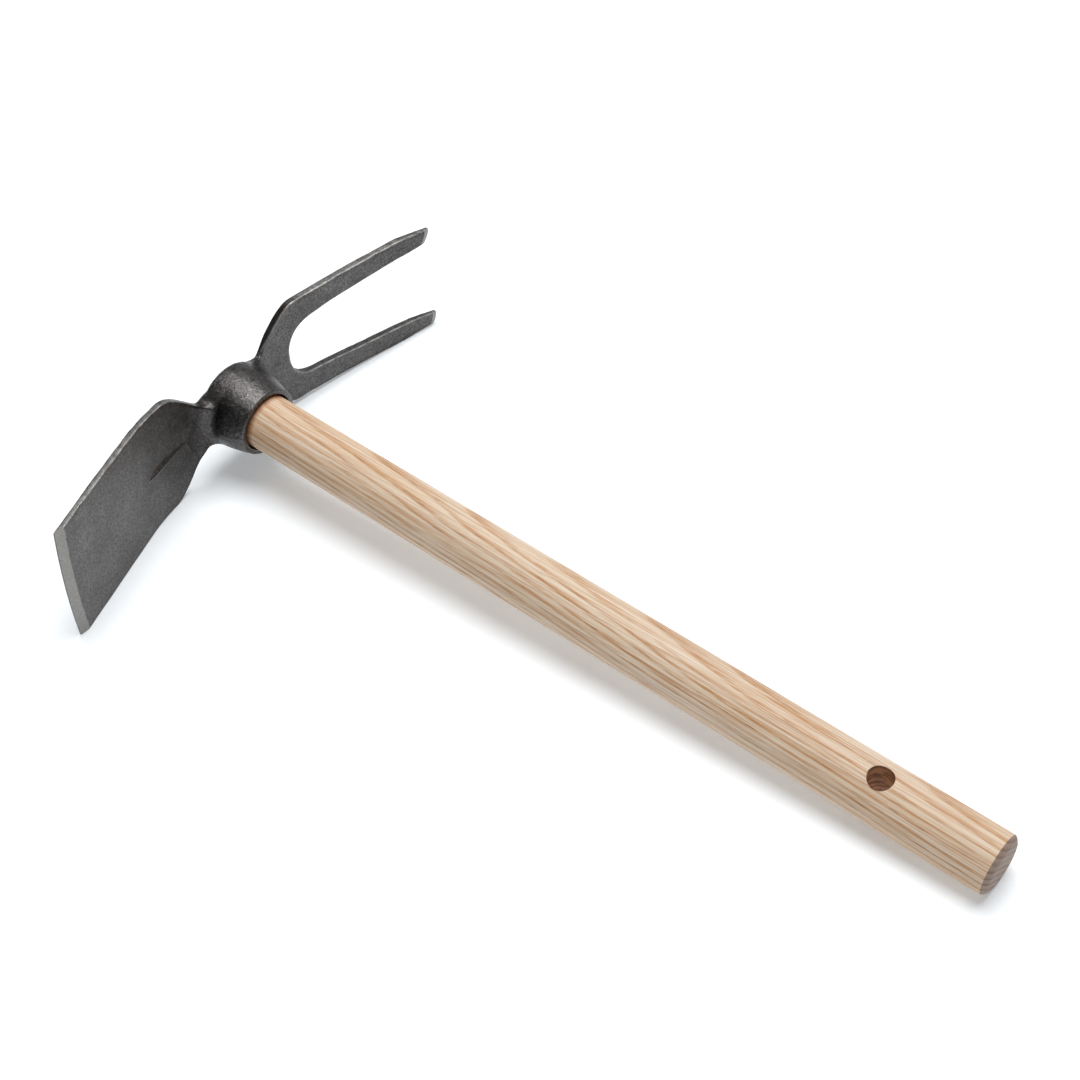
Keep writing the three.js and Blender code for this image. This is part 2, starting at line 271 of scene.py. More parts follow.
# Shares of the rib's length: where it has risen, where it widens, and where its point begins.
RIB_RISEN, RIB_WIDENS, RIB_POINT = 0.1, (0.15, 0.8), 0.72
RIB_CREST_SOFT = 0.01

# A crease below the rib's root: from, to, half width and height. It gets lower on its way.
CREASE = ((35.5, -4.0), (30.5, -19.0), 1.5, 0.5)
CREASE_FADE = 0.6

# Along, z, reach and height of the low bumps that the dies left at the neck.
NECK_BUMPS = (
    (32.2, 5.8, 3.2, 0.60),
    (35.0, 1.2, 2.4, 0.45),
    (27.5, 1.0, 3.4, -0.45),
    (29.0, -9.0, 4.0, -0.30),
    (26.5, -16.0, 3.4, 0.35),
)


def rib_height(along, z):
    """The low rib that runs out from the neck along the blade's front face: a long leaf."""
    t = np.clip((along - RIB_FROM) / (RIB_TO - RIB_FROM), 0, 1)
    widen = smoothstep(t, *RIB_WIDENS)
    point = np.sqrt(np.maximum(1 - smoothstep(t, RIB_POINT, 1.0), 0)) * smoothstep(t, 0, RIB_RISEN)
    upper, lower = lerp(*RIB_UPPER, widen), lerp(*RIB_LOWER, widen)
    across = z - lerp(*RIB_CREST, t)
    half = np.where(across > 0, upper, lower) * point + 1e-6
    share = np.sqrt((across / half) ** 2 + RIB_CREST_SOFT)
    return RIB_SLOPE * upper * point * np.maximum(1.0 - share, 0)


def ridge_height(along, z, start, end, half, height):
    """A low straight ridge from start to end, two (along, z) points."""
    run = (end[0] - start[0], end[1] - start[1])
    size = run[0] ** 2 + run[1] ** 2
    t = np.clip(((along - start[0]) * run[0] + (z - start[1]) * run[1]) / size, 0, 1)
    away = np.hypot(along - start[0] - t * run[0], z - start[1] - t * run[1])
    return height * np.maximum(1 - away / half, 0) * (1 - CREASE_FADE * t)


def neck_marks(along, z):
    """What the dies left at the neck: bumps, and a crease off to the lower shoulder."""
    marks = ridge_height(along, z, *CREASE)
    for at, across, reach, height in NECK_BUMPS:
        marks = marks + height * np.exp(-((along - at) ** 2 + (z - across) ** 2) / reach**2)
    return marks


def flat_plate(front, back, side, along):
    """Distance outside a plate between its two faces, with its long edges rounded."""
    radius = edge_round(along)
    return round_both(round_both(front, side, radius), round_both(back, side, radius), 0)


def blade_field(x, y, z):
    depth, along = in_plate(blade_face, x, -y)
    root = root_blend(along)
    front = -(depth + BLADE_RISE * root + rib_height(along, z) + neck_marks(along, z))
    back = depth - lerp(BLADE_THICK, BLADE_END_THICK, along / BLADE_END) - BLADE_BACK * root
    side = blade_side(along, z)
    plate = flat_plate(front, back, side, along)
    past = along - blade_end(z)
    plate = round_both(plate, past, CUTTING_EDGE_ROUND)
    slope = BLADE_BEVEL_DEPTH / BLADE_BEVEL
    ground = ((past + BLADE_BEVEL) * slope - depth) / math.hypot(1, slope)
    return np.maximum(np.maximum(plate, ground), PLATE_START - along)


def fork_gap(along, z):
    """Distance outside the gap between the prongs."""
    centre = FORK_CROTCH + FORK_GAP_RADIUS
    z = z - FORK_GAP_LIFT * (1 - smoothstep(along, FORK_CROTCH, centre))
    upper = smoothstep(z, -FORK_CROTCH_BLEND, FORK_CROTCH_BLEND)
    power = lerp(FORK_CROTCH_POWERS[1], FORK_CROTCH_POWERS[0], upper)
    size = np.abs(along - centre) ** power + np.abs(z) ** power
    crotch = size ** (1 / power) - FORK_GAP_RADIUS
    half = np.interp(along, (centre, FORK_TAPER), (FORK_GAP_RADIUS, FORK_GAP_TAPER_HALF))
    opening = np.clip((along - FORK_TAPER) / (FORK_END - FORK_TAPER), 0, 1.2) ** FORK_GAP_OPENING
    half = half + opening * (FORK_GAP_TIP_HALF - FORK_GAP_TAPER_HALF)
    swells = swell(along, *FORK_GAP_SWELL) * smoothstep(z, *FORK_SWELL_FADE)
    swells = swells + swell(along, *FORK_GAP_HOLLOW) * smoothstep(-z, *FORK_SWELL_FADE)
    return np.where(along < centre, crotch, np.abs(z) - half) + swells


def fork_field(x, y, z):
    depth, along = in_plate(fork_face, x, y)
    root = root_blend(along)
    stations = (PLATE_START, FORK_TAPER, FORK_END)
    thick = np.interp(along, stations, (FORK_THICK, FORK_MID_THICK, FORK_TIP_THICK))
    front = -(depth + FORK_RISE * root)
    back = depth - thick - FORK_BACK * root
    side = round_both(fork_side(along, z), along - fork_end(z), PRONG_CORNER_ROUND)
    side = round_both(side, -fork_gap(along, z), PRONG_CORNER_ROUND)
    plate = flat_plate(front, back, side, along)
    slope = FORK_BEVEL_DEPTH / FORK_BEVEL
    ground = ((along - fork_end(z) + FORK_BEVEL) * slope - depth) / math.hypot(1, slope)
    return np.maximum(np.maximum(plate, ground), PLATE_START - along)


EYE_CUBIC = np.polyfit(EYE_PROFILE_X, EYE_PROFILE_RADIUS, 3)


def bore_radius(x):
    return lerp(BORE_TOP, BORE_MOUTH, (x - EYE_TOP) / (EYE_MOUTH - EYE_TOP))


def barrel_field(x, radius):
    side = radius - np.polyval(EYE_CUBIC, np.clip(x, EYE_TOP, EYE_MOUTH))
    barrel = round_both(side, EYE_TOP - x, EYE_TOP_ROUND)
    return round_both(barrel, x - EYE_MOUTH, EYE_RIM_ROUND)


def bore_field(x, radius):
    """Distance outside the bore, a cone that is wider at the top, with a flared mouth."""
    flare = BORE_FLARE * smoothstep(x, EYE_MOUTH - BORE_FLARE_DEPTH, EYE_MOUTH)
    return radius - bore_radius(x) - flare


def head_field(x, y, z):
    radius = np.hypot(y, z)
    barrel = barrel_field(x, radius)
    solid = filleted_union(barrel, blade_field(x, y, z), ROOT_FILLET)
    solid = filleted_union(solid, fork_field(x, y, z), ROOT_FILLET)
    return round_both(solid, -bore_field(x, radius), EYE_RIM_ROUND)


def grid_base(y):
    """The grid's layers follow the plates' front faces, so that plates and grid line up."""
    blade, _ = blade_face(np.maximum(-y, ROOT_FROM))
    fork, _ = fork_face(np.maximum(y, ROOT_FROM))
    return lerp(blade, fork, smoothstep(y, -ROOT_FROM, ROOT_FROM))


# ---- Dual contouring: a mesh of a distance field that keeps its crisp edges ----

GRID_BOX = ((-8.0, 34.0), (-146.0, 146.0), (-39.5, 39.5))
GRID_STEPS = (0.46, 0.68, 0.68)
CROSSING_STEPS = 4
CELL_CALM = 0.03  # how strongly a vertex is held near the middle of its cell's crossings
CELL_REACH = 0.9  # the furthest it may move from there, as a share of the cell


def corner_points(index, lines):
    u, y, z = (lines[axis][index[:, axis]] for axis in range(3))
    return np.stack([u + grid_base(y), y, z], 1)


def field_at(field, points):
    return field(points[:, 0], points[:, 1], points[:, 2])


def field_normals(field, points, step=0.02):
    slopes = []
    for axis in range(3):
        shift = np.zeros(3)
        shift[axis] = step
        slopes.append(field_at(field, points + shift) - field_at(field, points - shift))
    normals = np.stack(slopes, 1)
    return normals / np.maximum(np.linalg.norm(normals, axis=1, keepdims=True), 1e-12)


def crossings(field, values, lines, axis):
    """Grid edges along an axis that cross the surface: index, point, and whether they go out."""
    low = np.take(values, range(values.shape[axis] - 1), axis)
    high = np.take(values, range(1, values.shape[axis]), axis)
    index = np.argwhere((low < 0) != (high < 0))
    ahead = index.copy()
    ahead[:, axis] += 1
    a, b = corner_points(index, lines), corner_points(ahead, lines)
    fa, fb = values[tuple(index.T)].astype(float), values[tuple(ahead.T)].astype(float)
    leaves = fa < 0
    for _ in range(CROSSING_STEPS):
        t = np.clip(fa / (fa - fb), 0.02, 0.98)[:, None]
        middle = a + (b - a) * t
        value = field_at(field, middle)
        before = (value < 0) == leaves
        a, fa = np.where(before[:, None], middle, a), np.where(before, value, fa)
        b, fb = np.where(before[:, None], b, middle), np.where(before, fb, value)
    return index, a + (b - a) * (fa / (fa - fb))[:, None], leaves


def cells_round(index, axis, shape):
    """Numbers of the four cells round each of these grid edges, which run along one axis."""
    side, up = (axis + 1) % 3, (axis + 2) % 3
    ring = []
    for back_side, back_up in ((1, 1), (0, 1), (0, 0), (1, 0)):
        cell = index.copy()
        cell[:, side] -= back_side
        cell[:, up] -= back_up
        ring.append(np.ravel_multi_index(cell.T, shape))
    return np.stack(ring, 1)


def cell_vertices(field, cells, points, lines):
    """The crossed cells' numbers, and for each the point that best fits the planes it meets."""
    normals = field_normals(field, points)
    names, place_of = np.unique(cells, return_inverse=True)
    count = np.bincount(place_of).astype(float)
    middle = np.stack([np.bincount(place_of, points[:, i]) for i in range(3)], 1) / count[:, None]
    height = np.einsum("ij,ij->i", normals, points - middle[place_of])
    pull = np.stack([np.bincount(place_of, normals[:, i] * height) for i in range(3)], 1)
    spread = np.empty((len(names), 3, 3))
    for i in range(3):
        for j in range(3):
            spread[:, i, j] = np.bincount(place_of, normals[:, i] * normals[:, j])
    spread += np.eye(3) * (CELL_CALM * count)[:, None, None]
    move = np.linalg.solve(spread, pull[:, :, None])[:, :, 0]
    reach = np.array([line[1] - line[0] for line in lines]) * CELL_REACH
    return names, middle + np.clip(move, -reach, reach)


def dual_contour(field, lines):
    """Vertices and quads of the surface where the field is zero, on a grid of these lines."""
    u, y, z = lines
    x = u[:, None, None] + grid_base(y)[None, :, None]
    values = field(x, y[None, :, None], z[None, None, :])
    shape = np.array([len(line) - 1 for line in lines])
    cells, points, quads = [], [], []
    for axis in range(3):
        index, point, leaves = crossings(field, values, lines, axis)
        ring = cells_round(index, axis, shape)
        quads.append(np.where(leaves[:, None], ring, ring[:, ::-1]))
        cells.append(ring.T.ravel())
        points.append(np.tile(point, (4, 1)))
    names, vertices = cell_vertices(field, np.concatenate(cells), np.concatenate(points), lines)
    return vertices, np.searchsorted(names, np.concatenate(quads))


def head_mesh():
    coarser = 1.0
    lines = [np.arange(*ends, step * coarser) for ends, step in zip(GRID_BOX, GRID_STEPS)]
    return dual_contour(head_field, lines)


# Unevenness from forging: its height, how long its waves are, and how many make it up.
LONG_WAVES = (0.055, 34, 14)
HAMMER_WAVES = (0.025, 9, 18)
GRIT_LENGTH, GRIT_COUNT = 3.2, 26
GRIT_HEIGHTS = (0.010, 0.05)  # on the plates and on the eye
EYE_GRIT_FADE = (22.5, 27)  # distances from the handle's axis
MARK_SINK, MARK_TOP = 0.02, 0.10  # the marks are sunk a little, and none stands out further
BORE_STAYS_EVEN = (0.6, 2.0)  # distances from the bore between which the marks begin
ENDS_STAY_EVEN = (1.0, 6.0)


def uneven(points, height, length, count, seed):
    return height * waves(points, length, count, seed)


def forge_marks(vertices):
    """Forging leaves nothing quite flat: long low waves, hammer-sized ones and a cast-like eye."""
    normals = field_normals(head_field, vertices, 0.3)
    x, y = vertices[:, 0], vertices[:, 1]
    radius = np.hypot(y, vertices[:, 2])
    at_eye = 1 - smoothstep(radius, *EYE_GRIT_FADE)
    waver = uneven(vertices, *LONG_WAVES, SEED) + uneven(vertices, *HAMMER_WAVES, SEED + 1)
    grit = waves(vertices, GRIT_LENGTH, GRIT_COUNT, SEED + 2) * lerp(*GRIT_HEIGHTS, at_eye)
    inside = smoothstep(radius - bore_radius(x), *BORE_STAYS_EVEN)
    edge = smoothstep(BLADE_END + y, *ENDS_STAY_EVEN) * smoothstep(FORK_END - y, *ENDS_STAY_EVEN)
    push = np.minimum(waver + grit - MARK_SINK, MARK_TOP) * inside * edge
    return vertices + normals * push[:, None]


# ---- From tool axes to pieces on the floor ----


def lay_down():
    """The matrix from the tool's own axes, in millimetres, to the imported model's frame, in metres.

    Three points carry the lying tool: a corner of the cutting edge, a prong and the butt's rim.
    """
    corner = Vector((float(blade_face(BLADE_END)[0]), -BLADE_END, BLADE_DRIFT[1] - BLADE_END_HALF))
    prong = Vector((float(fork_face(FORK_TAPER)[0]), FORK_TAPER, -FORK_TAPER_HALF))
    rim = Vector((HANDLE_BUTT - HANDLE_BUTT_ROUND, 0, -HANDLE_RADIUS))
    up = (prong - corner).cross(rim - corner).normalized()
    up = up if up.z > 0 else -up
    turn = up.rotation_difference(Vector((0, 0, 1))).to_matrix()
    butt = next(m for m in frame["record"]["mounts"] if m["name"] == "butt_end")
    move = Vector(butt["pos_m"]) - turn @ Vector((HANDLE_BUTT * MM, 0, 0))
    return Matrix.Translation(move) @ turn.to_4x4() @ Matrix.Scale(MM, 4)


TO_FLOOR = lay_down()


def linked(name, data):
    """A new object with this data, in the scene."""
    thing = bpy.data.objects.new(name, data)
    bpy.context.scene.collection.objects.link(thing)
    return thing


# ---- Camera, at the photograph's viewing angle, placed in the tool's own axes ----

CAMERA_AT = (594.2, -492.1, 733.3)
CAMERA_AIM = (182.0, 23.8, 0.0)
CAMERA_LENS, CAMERA_SENSOR = 66.667, 36.0


def make_camera():
    data = bpy.data.cameras.new("camera")
    data.lens = CAMERA_LENS
    data.sensor_width = CAMERA_SENSOR
    camera = linked("camera", data)
    looks = Vector(CAMERA_AIM) - Vector(CAMERA_AT)
    camera.location = TO_FLOOR @ Vector(CAMERA_AT)
    camera.rotation_mode = "QUATERNION"
    camera.rotation_quaternion = TO_FLOOR.to_quaternion() @ looks.to_track_quat("-Z", "Y")
    bpy.context.scene.camera = camera


# ---- Pieces of mesh ----


def object_of(name, vertices, faces):
    mesh = bpy.data.meshes.new(name)
    mesh.from_pydata([tuple(v) for v in vertices], [], [tuple(f) for f in faces])
    mesh.validate()
    return linked(name, mesh)


def points_of(mesh):
    flat = np.empty(len(mesh.vertices) * 3)
    mesh.vertices.foreach_get("co", flat)
    return flat.reshape(-1, 3)


def mark(mesh, name, values):
    """Stores one number for each vertex, for the materials to read."""
    attribute = mesh.attributes.new(name, "FLOAT", "POINT")
    attribute.data.foreach_set("value", np.asarray(values, np.float32))


def place(piece, node, material, sharp=40.0):
    """Finishes a piece: stores its tool coordinates, lays it down and ties it to its CAD node."""
    mesh = piece.data
    points = points_of(mesh)
    attribute = mesh.attributes.new("tool", "FLOAT_VECTOR", "POINT")
    attribute.data.foreach_set("vector", points.ravel().astype(np.float32))
    mesh.transform(TO_FLOOR)
    mesh.polygons.foreach_set("use_smooth", [True] * len(mesh.polygons))
    mesh.set_sharp_from_angle(angle=math.radians(sharp))
    mesh.materials.clear()
    mesh.materials.append(material)
    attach(piece, "root")
    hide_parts(node)


# ---- Shader nodes ----


class Shader:
    """Short-hand for building one material's node tree."""

    def __init__(self, name):
        self.material = bpy.data.materials.new(name)
        self.material.use_nodes = True
        self.tree = self.material.node_tree
        self.main = self.tree.nodes["Principled BSDF"]

    def node(self, kind, inputs=None, **settings):
        node = self.tree.nodes.new(kind)
        for key, value in settings.items():
            setattr(node, key, value)
        for key, value in (inputs or {}).items():
            self.put(node.inputs[key], value)
        return node

    def put(self, socket, value):
        if isinstance(value, bpy.types.NodeSocket):
            self.tree.links.new(value, socket)
        else:
            socket.default_value = value

    def set(self, name, value):
        self.put(self.main.inputs[name], value)

    def math(self, operation, *values, clamp=False):
        node = self.node("ShaderNodeMath", operation=operation, use_clamp=clamp)
        for socket, value in zip(node.inputs, values):
            self.put(socket, value)
        return node.outputs[0]

    def times(self, a, b, clamp=False):
        return self.math("MULTIPLY", a, b, clamp=clamp)

    def attribute(self, name, output="Fac"):
        return self.node("ShaderNodeAttribute", attribute_name=name).outputs[output]

    def scaled(self, vector, scale):
        node = self.node("ShaderNodeVectorMath", operation="MULTIPLY")
        self.put(node.inputs[0], vector)
        self.put(node.inputs[1], scale)
        return node.outputs[0]

    def noise(self, vector, scale, detail=2.0, rough=0.5):
        inputs = {"Vector": vector, "Scale": scale, "Detail": detail, "Roughness": rough}
        return self.node("ShaderNodeTexNoise", inputs).outputs["Fac"]

    def ramp(self, value, stops):
        node = self.node("ShaderNodeValToRGB", {0: value})
        elements = node.color_ramp.elements
        while len(elements) < len(stops):
            elements.new(0.5)
        for element, (position, colour) in zip(elements, stops):
            element.position = position
            element.color = colour
        return node.outputs["Color"]

    def range(self, value, low, high, to_low=0.0, to_high=1.0):
        inputs = {0: value, 1: low, 2: high, 3: to_low, 4: to_high}
        return self.node("ShaderNodeMapRange", inputs).outputs[0]

    def mix(self, share, a, b, blend="MIX"):
        node = self.node("ShaderNodeMix", data_type="RGBA", blend_type=blend)
        self.put(node.inputs[0], share)
        self.put(node.inputs[6], a)
        self.put(node.inputs[7], b)
        return node.outputs[2]

    def bump(self, height, distance, strength, below=None):
        inputs = {"Height": height, "Distance": distance, "Strength": strength}
        if below is not None:
            inputs["Normal"] = below
        return self.node("ShaderNodeBump", inputs).outputs[0]


def srgb(red, green, blue):
    """A linear colour from 0 to 255 display values."""
    values = (c / 255 for c in (red, green, blue))
    return tuple(c / 12.92 if c < 0.04045 else ((c + 0.055) / 1.055) ** 2.4 for c in values) + (1,)


# ---- Materials ----


def forged_steel():
    """Dark forge scale, coarser on the eye, with bare ground edges, painted shade, and edges
    brightened by wear and painted highlight.
    """
    s = Shader("forged_steel")
    at = s.attribute("tool", "Vector")
    names = ("eye", "ground", "wear_and_highlight", "bore", "painted_edge_shade", "painted_hollow_shade", "painted_neck_shade")
    eye, ground, wear_and_highlight, bore, painted_edge_shade, painted_hollow_shade, painted_neck_shade = (s.attribute(name) for name in names)
    patches = s.noise(at, 0.045, 3.0, 0.6)
    mottle = s.noise(at, 0.35, 4.0, 0.65)
    grain = s.noise(at, 0.85, 4.0, 0.75)
    sand = s.noise(at, 1.4, 3.0, 0.7)
    tone = s.math("ADD", s.times(patches, 0.5), s.times(mottle, 0.5))
    greys = [(0.32, srgb(74, 71, 69)), (0.5, srgb(90, 88, 87)), (0.68, srgb(105, 104, 103))]
    scale = s.ramp(tone, greys)
    darkest = s.range(eye, 0, 1, 0.9, 0.8)
    speckle = s.range(grain, 0.37, 0.65, 0.54, 1.50)
    speckle = s.times(speckle, s.range(sand, 0.36, 0.66, darkest, 1.35))
    # Painted shade in the hollows of the eye beside the plates.
    speckle = s.times(speckle, s.range(painted_hollow_shade, 0, 1, 1.0, 0.14))
    # Painted shade at the blade's neck, and a little on the fork's side.
    speckle = s.times(speckle, s.range(painted_neck_shade, 0, 1, 1.0, 0.62))
    speckled = s.node("ShaderNodeCombineColor", {0: speckle, 1: speckle, 2: speckle}).outputs[0]
    colour = s.mix(1.0, scale, speckled, "MULTIPLY")
    # Painted shade on the fork root's edge walls, and a painted dark line on the faces beside the
    # edges.
    colour = s.mix(s.times(painted_edge_shade, 0.8), colour, srgb(52, 44, 38))
    scratches = s.noise(s.scaled(at, (1.4, 0.25, 1.4)), 2.4, 3.0, 0.6)
    bare = s.ramp(scratches, [(0.3, srgb(124, 121, 117)), (0.7, srgb(156, 153, 149))])
    # Edges brightened by wear and painted highlight.
    wear = s.times(wear_and_highlight, s.range(mottle, 0.35, 0.6, 0.3, 0.9), clamp=True)
    colour = s.mix(wear, colour, srgb(168, 166, 163))
    colour = s.mix(ground, colour, bare)
    colour = s.mix(bore, colour, srgb(70, 60, 52))
    s.set("Base Color", colour)
    s.set("Metallic", 1.0)
    rough = s.range(mottle, 0.3, 0.7, 0.38, 0.52)
    s.set("Roughness", s.math("SUBTRACT", rough, s.times(eye, 0.14)))
    fine = s.bump(sand, 0.0002, 0.6)
    coarse = s.bump(grain, 0.0009, s.range(eye, 0, 1, 0.15, 0.36), fine)
    s.set("Normal", coarse)
    return s.material


RING_WAY = (0.655, 0.755)  # Y and Z of the way from the tree's pith to the handle
PITH_AWAY = 85.0
RING_STEP = 3.5
GRAIN_RUN = 0.05  # the rings run out of the handle's side by this much of its length
# Shares of a growth ring, and how much dark early wood is at each.
EARLY_WOOD = (
    (0.0, 0.5), (0.05, 1.0), (0.22, 0.85), (0.42, 0.35), (0.65, 0.08), (0.92, 0.05), (1.0, 0.5)
)


def ash_rings(s, x, y, z, at):
    """How far through its growth ring a point is, from 0 to 1, and the ring's own number."""
    slow = s.noise(s.scaled(at, (0.005, 0.02, 0.02)), 1.0, 2.0)
    quick = s.noise(s.scaled(at, (0.012, 0.12, 0.12)), 1.0, 3.0)
    from_y = s.math("ADD", y, PITH_AWAY * RING_WAY[0])
    from_z = s.math("ADD", z, PITH_AWAY * RING_WAY[1])
    squares = s.math("ADD", s.times(from_y, from_y), s.times(from_z, from_z))
    away = s.math("ADD", s.math("SQRT", squares), s.times(x, GRAIN_RUN))
    away = s.math("ADD", away, s.times(slow, 9.0))
    away = s.math("ADD", away, s.times(quick, 1.8))
    rings = s.math("DIVIDE", away, RING_STEP)
    return s.math("FRACT", rings), s.math("FLOOR", rings)


def cut_faces(s, colour, at, early, fibres, dashes, ends):
    """Adds the ends' rings, the drilled wall, and the rubbed line at the eye's mouth."""
    tone = s.math("ADD", early, s.range(fibres, 0.35, 0.65, -0.15, 0.35))
    tone = s.times(tone, 0.9, clamp=True)
    colour = s.mix(s.attribute("end"), colour, s.mix(tone, *ends))
    turns = s.noise(s.scaled(at, (0.12, 0.12, 1.5)), 1.0, 3.0, 0.7)
    wall = s.ramp(turns, [(0.40, srgb(142, 104, 77)), (0.60, srgb(246, 206, 170))])
    colour = s.mix(s.attribute("drilled"), colour, wall)
    rubbed = s.times(s.attribute("rubbed"), s.range(dashes, 0.35, 0.6, 0.6, 1.0))
    return s.mix(rubbed, colour, srgb(142, 84, 46))


def ash_wood(name, light, band, pore, ends, scale=1.0):
    """Ring-porous wood from three colours: the late wood, the early wood and its pores."""
    s = Shader(name)
    at = s.attribute("tool", "Vector")
    x, y, z = s.node("ShaderNodeSeparateXYZ", {0: at}).outputs
    through, number = ash_rings(s, x, y, z, at)
    chance = s.node("ShaderNodeTexWhiteNoise", {"W": number}, noise_dimensions="1D")
    stops = [(share, (level, level, level, 1)) for share, level in EARLY_WOOD]
    early = s.ramp(through, stops)
    early = s.times(early, s.range(chance.outputs["Value"], 0, 1, 0.5, 1.15))
    fibres = s.noise(s.scaled(at, (0.045, 1.0, 1.0)), scale, 5.0, 0.75)
    streaks = s.noise(s.scaled(at, (0.008, 0.55, 0.55)), scale, 4.0, 0.65)
    shade = s.times(early, s.range(fibres, 0.3, 0.7, 0.35, 1.5))
    shade = s.math("ADD", shade, s.range(streaks, 0.32, 0.72, -0.22, 0.4))
    shade = s.math("ADD", shade, s.range(fibres, 0.35, 0.7, -0.22, 0.42))
    base = s.mix(s.range(x, 20, 160, 0.35, 0.0), light, srgb(222, 186, 146))
    base = s.mix(s.range(x, 260, 456, 0.0, 0.25), base, srgb(208, 176, 142))
    colour = s.mix(s.times(shade, 0.95, clamp=True), base, band)
    dashes = s.noise(s.scaled(at, (0.10, 2.4, 2.4)), scale, 2.0, 0.5)
    porous = s.range(early, 0.25, 0.8, 0.10, 0.85)
    dash = s.times(s.range(dashes, 0.58, 0.68), porous, clamp=True)
    colour = s.mix(dash, colour, pore)
    silk = s.noise(s.scaled(at, (0.012, 0.9, 0.9)), scale, 4.0, 0.7)
    colour = s.mix(s.range(silk, 0.52, 0.64, 0.0, 0.5), colour, srgb(240, 229, 218))
    hairs = s.noise(s.scaled(at, (0.012, 1.3, 1.3)), scale, 3.0, 0.7)
    towards_butt = s.range(x, 40, 260, 0.3, 0.5)
    hair = s.times(s.range(hairs, 0.53, 0.62), towards_butt)
    colour = s.mix(hair, colour, srgb(172, 124, 84))
    s.set("Base Color", cut_faces(s, colour, at, early, fibres, dashes, ends))
    s.set("Roughness", s.range(fibres, 0.3, 0.7, 0.48, 0.62))
    s.set("Specular IOR Level", 0.35)
    relief = s.math("SUBTRACT", s.times(fibres, 0.6), s.times(dash, 0.8))
    s.set("Normal", s.bump(relief, 0.00012, 0.6))
    return s.material


def wedge_steel():
    s = Shader("wedge_steel")
    at = s.attribute("tool", "Vector")
    blotch = s.noise(at, 0.5, 3.0, 0.6)
    lines = s.noise(s.scaled(at, (0.4, 4.0, 1.0)), 2.0, 3.0, 0.6)
    tone = s.math("ADD", s.times(blotch, 0.6), s.times(lines, 0.4))
    greys = [(0.3, srgb(112, 108, 103)), (0.5, srgb(150, 147, 142)), (0.7, srgb(176, 173, 168))]
    s.set("Base Color", s.ramp(tone, greys))
    s.set("Metallic", 0.85)
    s.set("Roughness", s.range(blotch, 0.3, 0.7, 0.32, 0.5))
    s.set("Normal", s.bump(tone, 0.0002, 0.5))
    return s.material


def studio_floor():
    s = Shader("studio_floor")
    position = s.node("ShaderNodeNewGeometry").outputs["Position"]
    tone = s.noise(position, 1.2, 1.0)
    whites = [(0.0, srgb(236, 240, 244)), (1.0, srgb(240, 244, 248))]
    s.set("Base Color", s.ramp(tone, whites))
    s.set("Roughness", 0.9)
    s.set("Specular IOR Level", 0.0)
    s.set("Emission Color", (0.94, 0.98, 1.0, 1))
    s.set("Emission Strength", TABLE_GLOW)
    return s.material


# ---- Head ----

EYE_REACH = (21.5, 25.5)  # distances from the handle's axis between which the eye's scale ends
NECK_REACH = (23.0, 27.0)
NECK_SHADE_FADE = (35.0, 85.0)  # painted shade, darkest at the blade's neck and fading out between these distances
PRONG_SHADE = 0.25  # how much painted shade the fork's side gets, where 1 is the blade's neck
BLADE_SHADE_REACH, FORK_SHADE_REACH = 12.0, 5.0  # how far from each plate the painted shade on the eye reaches
FRONT_FROM, FRONT_TO = 0.0, 4.0  # X between which the eye's front half begins
GROUND_MARGIN, BLADE_GROUND_BELOW, FORK_GROUND_BELOW = 0.25, 0.35, 0.3
BORE_MARGIN = (0.25, 0.35)  # round the bore's wall, and at its mouth
WALL_FROM = 26.0  # distance from the handle's axis where the painted shade and the wear and painted highlight of a plate's edge walls begin
PLATE_FROM = 30.0
WALL_SHADE_FADE = (45.0, 62.0)  # Y between which the fork's edge walls turn from painted shade to wear and painted highlight
CORNER_SIDE, CORNER_DEPTH = 0.45, 0.5  # reach of the wear and painted highlight on a corner
WALL_MARGIN, EDGE_BAND = 0.3, 2.5  # how far from a long edge its painted wall shade and its wear and painted highlight begin
# Wear and painted highlight on the long edges' walls, swelling near the face.
WALL_WEAR_AND_SHEEN, WEAR_AND_SHEEN_NEAR_FACE = 0.5, (0.4, 0.6, 0.8)
EDGE_LINE = (0.5, -1.2, 0.6)  # a line of painted shade on the face, beside the edge's wear and painted highlight
FACE_DEPTH, DARK_DEPTH = 0.3, 0.7


def mark_scale(mesh, x, y, z, radius):
    """Where the forge scale is the eye's, and where shade is painted: at the blade's neck and in the
    hollows beside the plates.
    """
    mark(mesh, "eye", (1 - smoothstep(radius, *EYE_REACH)) * (x > EYE_TOP - 1))
    neck = smoothstep(radius, *NECK_REACH) * (1 - smoothstep(radius, *NECK_SHADE_FADE))
    # Painted shade: darkest at the blade's neck, a quarter as dark on the fork's side.
    mark(mesh, "painted_neck_shade", np.where(y < 0, neck, PRONG_SHADE))
    at_blade = np.exp(-((blade_field(x, y, z) / BLADE_SHADE_REACH) ** 2))
    at_fork = np.exp(-((fork_field(x, y, z) / FORK_SHADE_REACH) ** 2))
    front = smoothstep(x, FRONT_FROM, FRONT_TO) * (1 - smoothstep(radius, *NECK_REACH))
    # Painted shade on the eye's front, in the hollows beside the plates.
    mark(mesh, "painted_hollow_shade", np.maximum(at_blade, at_fork) * front)
    at_wall = radius < bore_radius(x) + BORE_FLARE + BORE_MARGIN[0]
    mark(mesh, "bore", at_wall & (x < EYE_MOUTH - BORE_MARGIN[1]))


